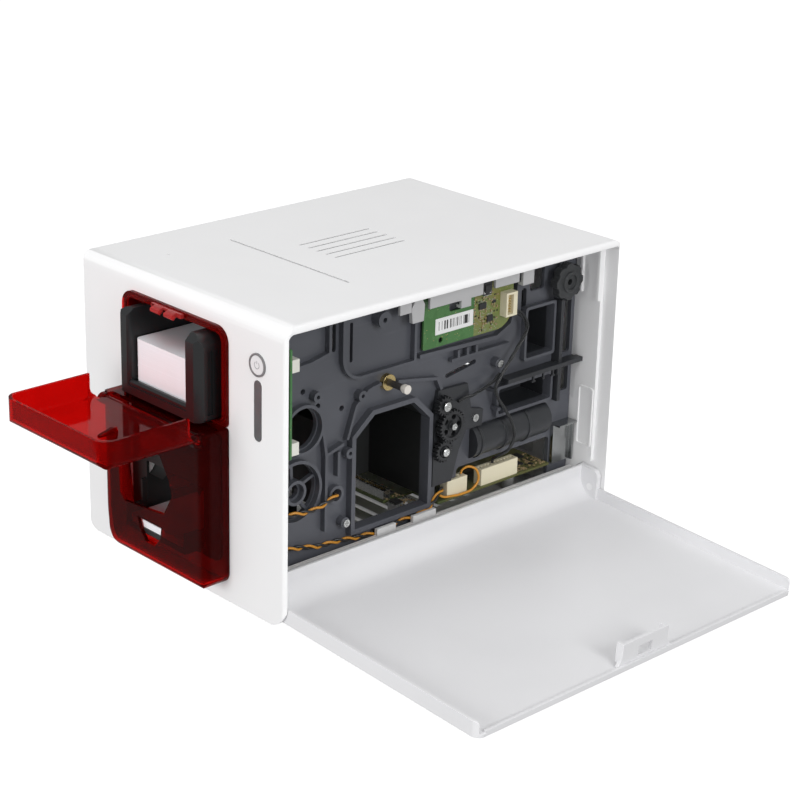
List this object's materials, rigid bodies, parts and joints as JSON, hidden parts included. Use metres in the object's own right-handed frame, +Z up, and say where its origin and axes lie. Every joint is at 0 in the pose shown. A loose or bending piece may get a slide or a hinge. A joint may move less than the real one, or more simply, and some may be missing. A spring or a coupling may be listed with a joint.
{
  "type": "id card printer",
  "caption": "Desktop ID card printer with a hinged feeder door, card magazine, output hopper and a fold-down service cover over a geared mechanism.",
  "frame": {"origin": "on the table, under the middle of the case", "axes": "+Z up; the front with the feeder faces -Y; the service side with its cover open faces +X"},
  "size_m": [0.3589, 0.3735, 0.194],
  "materials": {
    "white_shell": "fine satin moulded plastic",
    "white_cover": "fine satin moulded plastic",
    "rubber_feet": "soft matt rubber",
    "red_translucent": "translucent gloss plastic",
    "black_satin": "satin moulded plastic",
    "card_white": "smooth laminated card",
    "button_white": "smooth",
    "ring_grey": "smooth",
    "light_grey": "frosted lens",
    "chassis_grey": "satin glass-filled plastic",
    "gear_black": "satin acetal",
    "spindle_ivory": "satin",
    "bush_brass": "turned",
    "rail_grey": "satin",
    "board_green": "solder-mask lacquer",
    "board_olive": "solder-mask lacquer",
    "label_white": "printed paper",
    "connector_ivory": "satin nylon",
    "connector_white": "satin nylon",
    "steel": "bright sheet",
    "wire_orange": "soft insulation",
    "wire_black": "soft insulation"
  },
  "bodies": {
    "case": {"case_shell": "white_shell", "base_tray": "white_shell", "feet": "rubber_feet", "rear_panel": "white_shell", "dc_inlet": "black_satin", "usb_socket": "steel", "network_socket": "steel", "feeder_frame": "red_translucent", "frame_latch": "red_translucent", "card_magazine": "black_satin", "card_stack": "card_white", "output_hopper": "red_translucent", "hopper_tray": "black_satin", "hopper_cards": "card_white", "button_ring": "ring_grey", "status_light": "light_grey", "mechanism_chassis": "chassis_grey", "pocket_boxes": "chassis_grey", "chassis_feet": "steel", "tunnel_duct": "black_satin", "gear_housing": "chassis_grey", "motor_cover": "chassis_grey", "rear_shelves": "chassis_grey", "spindle_bush": "bush_brass", "top_rail": "rail_grey", "sensor_board": "board_green", "board_label": "label_white", "sensor_connector": "connector_ivory", "front_board": "board_green", "front_connectors": "connector_white", "main_board": "board_olive", "board_header": "steel", "long_connector": "connector_ivory", "small_connector": "connector_ivory", "metal_bracket": "steel", "screws": "steel", "lead_orange_low": "wire_orange", "lead_black_low": "wire_black", "lead_orange_high": "wire_orange", "lead_black_high": "wire_black", "loop_orange": "wire_orange", "cable_long": "wire_black", "cable_short": "wire_black"},
    "side_cover": {"side_cover": "white_cover", "cover_latch": "white_cover"},
    "feeder_door": {"feeder_door": "red_translucent"},
    "power_button": {"power_button": "button_white"},
    "drive_gear": {"drive_gear": "gear_black"},
    "pinion_gear": {"pinion_gear": "gear_black"},
    "idler_gear": {"idler_gear": "gear_black"},
    "ribbon_spindle": {"ribbon_spindle": "spindle_ivory"},
    "adjust_knob": {"adjust_knob": "gear_black"}
  },
  "joints": [
    {"name": "cover_hinge", "type": "hinge", "parent": "case", "child": "side_cover", "pos_m": [0.09, 0, 0.019], "axis": [0, 1, 0], "range_deg": [-92.8, 0]},
    {"name": "door_hinge", "type": "hinge", "parent": "case", "child": "feeder_door", "pos_m": [0, -0.162, 0.114], "axis": [-1, 0, 0], "range_deg": [0, 90]},
    {"name": "button_press", "type": "slide", "parent": "case", "child": "power_button", "axis": [0, 1, 0], "range_m": [0, 0.0012], "stiffness_N_per_m": 300, "springref_m": -0.001},
    {"name": "drive_spin", "type": "hinge", "parent": "case", "child": "drive_gear", "pos_m": [0.0734, 0.0173, 0.0884], "axis": [1, 0, 0], "continuous": true},
    {"name": "pinion_spin", "type": "hinge", "parent": "case", "child": "pinion_gear", "pos_m": [0.0734, 0.01063, 0.10338], "axis": [1, 0, 0], "continuous": true},
    {"name": "idler_spin", "type": "hinge", "parent": "case", "child": "idler_gear", "pos_m": [0.0734, 0.01086, 0.07245], "axis": [1, 0, 0], "continuous": true},
    {"name": "spindle_spin", "type": "hinge", "parent": "case", "child": "ribbon_spindle", "pos_m": [0.07, -0.033, 0.128], "axis": [1, 0, 0], "continuous": true},
    {"name": "knob_turn", "type": "hinge", "parent": "case", "child": "adjust_knob", "pos_m": [0.07, 0.118, 0.1643], "axis": [1, 0, 0], "continuous": true}
  ],
  "couplings": [
    {"joint": "pinion_spin", "follows": "drive_spin", "ratio": -1.7333},
    {"joint": "idler_spin", "follows": "drive_spin", "ratio": -1.5294}
  ]
}
